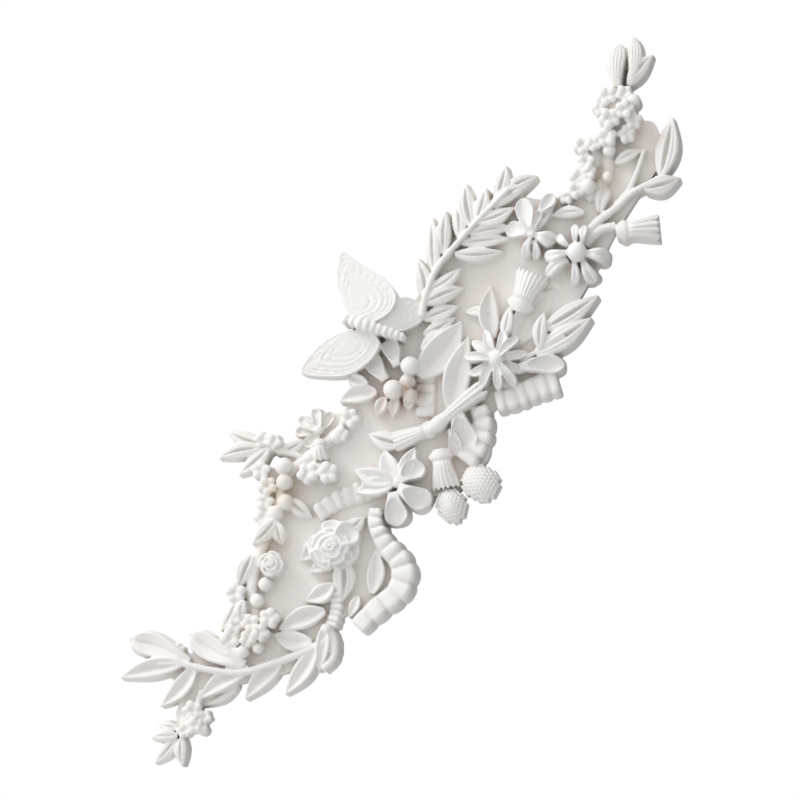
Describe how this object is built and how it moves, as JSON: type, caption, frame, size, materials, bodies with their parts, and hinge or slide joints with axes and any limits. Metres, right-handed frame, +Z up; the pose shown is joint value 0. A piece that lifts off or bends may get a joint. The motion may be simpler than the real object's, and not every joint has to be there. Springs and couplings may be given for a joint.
{
  "type": "plaster corner ornament",
  "caption": "Cast plaster corner ornament: a slanting spray of leaves, blossoms, berries, frilled ribbon, a rose and a butterfly in relief on a flat back, fixed to a wall or ceiling.",
  "frame": {"origin": "on the flat back face, near the middle of the casting", "axes": "+X to the right and +Z up along the two sides of the corner it decorates, seen from the front; the relief faces -Y and the flat back faces +Y"},
  "size_m": [0.6032, 0.062, 0.7798],
  "materials": {
    "plaster": "matte"
  },
  "bodies": {
    "root": {"corner_ornament": "plaster"}
  },
  "joints": []
}
